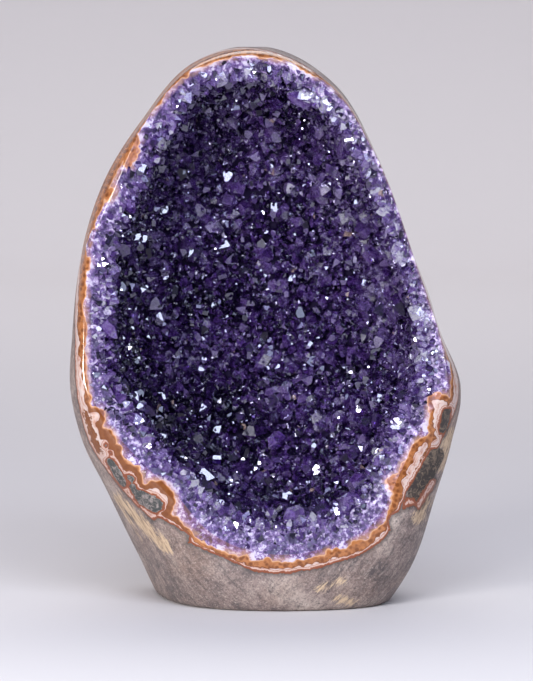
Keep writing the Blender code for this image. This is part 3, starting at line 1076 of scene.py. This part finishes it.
def make_points():
    """The points that fill the hollow, the tiny ones on their sides, and the pale ones along the rim."""
    rng = np.random.default_rng(SEED)
    shapes = [crystal_shape(rng) for _ in range(SHAPES)]
    tints = [crystal_material(*tint) for tint in TINTS]
    names = ("large_amethyst_points", "amethyst_points", "small_amethyst_points", "late_amethyst_points")
    tries = rng.uniform((0, 0), (TAU, QUARTER), (POINT_TRIES, 2))
    late = tries[keep_apart(floor_point(tries[:, 0], tries[:, 1]), LATE_POINTS["spacing"], {})]
    for kind, sites, name in zip(POINT_KINDS + (LATE_POINTS,), spread_sites(rng) + [late], names):
        turn, angle = sites[:, 0], sites[:, 1]
        floor = floor_point(turn, angle)
        normals = floor_normal(turn, angle) + (0, -FORWARD_LEAN, 0)
        depth = floor[:, 1] - FACE_Y - LEAN * floor[:, 2] - kind["rise"][0]
        paleness = np.exp(-np.maximum(depth, 0) / around(PALE_DEPTH, turn)) + patchy(floor, *PALE_PATCHES)
        add_points(name, rng, shapes, kind, floor, normals, paleness, tints)
    turn, share = rim_sites(rng).T
    places = lip_point(turn, share)
    inward = np.stack([-np.cos(turn), np.full(len(turn), -RIM_FORWARD), -np.sin(turn)], axis=-1)
    paleness = RIM_PALENESS - RIM_PALE_FALL * share + patchy(places, *RIM_PALE_PATCHES)
    add_points("rim_points", rng, shapes, RIM_POINTS, places, inward, paleness, tints)


# The photograph's camera: its picture, its focal length in pixels, its place, and how far it looks down.
IMAGE_WIDTH, IMAGE_HEIGHT = 533, 681
FOCAL_PX = 3812.0
SENSOR_MM = 36.0
CAMERA_Y, CAMERA_Z = -3.368, 0.497
CAMERA_PITCH = math.radians(4.523)

# The round pale floor: its radius, the bend up into its wall, the wall's top, and its gap below the base.
STAGE_RADIUS, STAGE_BEND, STAGE_HEIGHT = 4.6, 0.8, 3.2
STAGE_BELOW = 0.0002
BEND_STEPS, STAGE_STEPS = 12, 96
STAGE_COLOUR = (0.68, 0.65, 0.655)

# Each light's name, place, what it points at, width and height in metres, watts and colour.
MIDDLE = (0, 0, 0.24)
LIGHTS = (
    ("left_softbox", (-1.3, -1.9, 0.50), MIDDLE, (0.5, 0.35), 42, (1.0, 0.99, 0.98)),
    ("left_lamp", (-0.5, -2.2, 1.15), MIDDLE, (0.3, 0.3), 10, (1.0, 0.99, 0.98)),
    ("right_lamp", (0.75, -2.1, 0.85), MIDDLE, (0.3, 0.3), 6, (0.90, 0.94, 1.0)),
    ("right_softbox", (1.3, -2.1, 1.05), MIDDLE, (1.3, 1.1), 12, (0.70, 0.80, 1.0)),
    ("top_softbox", (0.2, -1.7, 1.75), MIDDLE, (1.7, 0.65), 32, (0.80, 0.88, 1.0)),
    ("backdrop_softbox", (0, 3.4, 4.4), (0, 3.4, 0), (5.0, 3.4), 144, (1.0, 1.0, 1.0)),
)
ROOM_COLOUR = (0.66, 0.68, 0.90)
ROOM_STRENGTH = 0.30


def make_camera():
    data = bpy.data.cameras.new("camera")
    data.sensor_width = SENSOR_MM
    data.lens = FOCAL_PX / max(IMAGE_WIDTH, IMAGE_HEIGHT) * SENSOR_MM
    data.clip_end = 50
    camera = bpy.data.objects.new("camera", data)
    camera.location = (0, CAMERA_Y, CAMERA_Z)
    camera.rotation_euler = (math.pi / 2 - CAMERA_PITCH, 0, 0)
    bpy.context.scene.collection.objects.link(camera)
    bpy.context.scene.camera = camera


def add_softbox(name, location, target, size, power, colour):
    data = bpy.data.lights.new(name, "AREA")
    data.shape = "RECTANGLE"
    data.size, data.size_y = size
    data.energy = power
    data.color = colour
    lamp = bpy.data.objects.new(name, data)
    lamp.location = location
    lamp.rotation_euler = (Vector(target) - Vector(location)).to_track_quat("-Z", "Y").to_euler()
    bpy.context.scene.collection.objects.link(lamp)


def make_stage():
    """A round pale floor that curves up all round into a wall."""
    profile = [(0.0, 0.0)]
    for i in range(BEND_STEPS + 1):
        angle = QUARTER * i / BEND_STEPS
        profile.append((STAGE_RADIUS + STAGE_BEND * math.sin(angle), STAGE_BEND * (1 - math.cos(angle))))
    profile.append((STAGE_RADIUS + STAGE_BEND, STAGE_HEIGHT))
    bm = bmesh.new()
    line = [bm.verts.new((radius, 0, z - STAGE_BELOW)) for radius, z in profile]
    edges = [bm.edges.new(pair) for pair in zip(line, line[1:])]
    bmesh.ops.spin(bm, geom=line + edges, cent=(0, 0, 0), axis=(0, 0, 1), angle=TAU, steps=STAGE_STEPS)
    bmesh.ops.remove_doubles(bm, verts=bm.verts[:], dist=1e-4)
    mesh = bpy.data.meshes.new("backdrop")
    bm.to_mesh(mesh)
    bm.free()
    graph = Graph("backdrop")
    mesh.materials.append(graph.set(Base_Color=STAGE_COLOUR, Roughness=0.9, Specular_IOR_Level=0.1))
    stage = bpy.data.objects.new("backdrop", mesh)
    bpy.context.scene.collection.objects.link(stage)
    stage.data.shade_smooth()


def make_light():
    """The key softbox and a lamp at the left, dimmer ones at the right, one above and one on the backdrop."""
    for light in LIGHTS:
        add_softbox(*light)
    world = bpy.data.worlds.new("room")
    world.use_nodes = True
    background = world.node_tree.nodes["Background"]
    background.inputs["Color"].default_value = (*ROOM_COLOUR, 1)
    background.inputs["Strength"].default_value = ROOM_STRENGTH
    bpy.context.scene.world = world


def set_render():
    scene = bpy.context.scene
    scene.view_settings.view_transform = "Standard"
    scene.cycles.use_denoising = True
    scene.cycles.max_bounces = 14
    scene.cycles.transmission_bounces = 10
    scene.cycles.sample_clamp_indirect = 6.0
    scene.cycles.caustics_reflective = False


make_camera()
make_stage()
make_light()
make_stone()
make_crust()
make_points()
set_render()

bpy.context.view_layer.update()
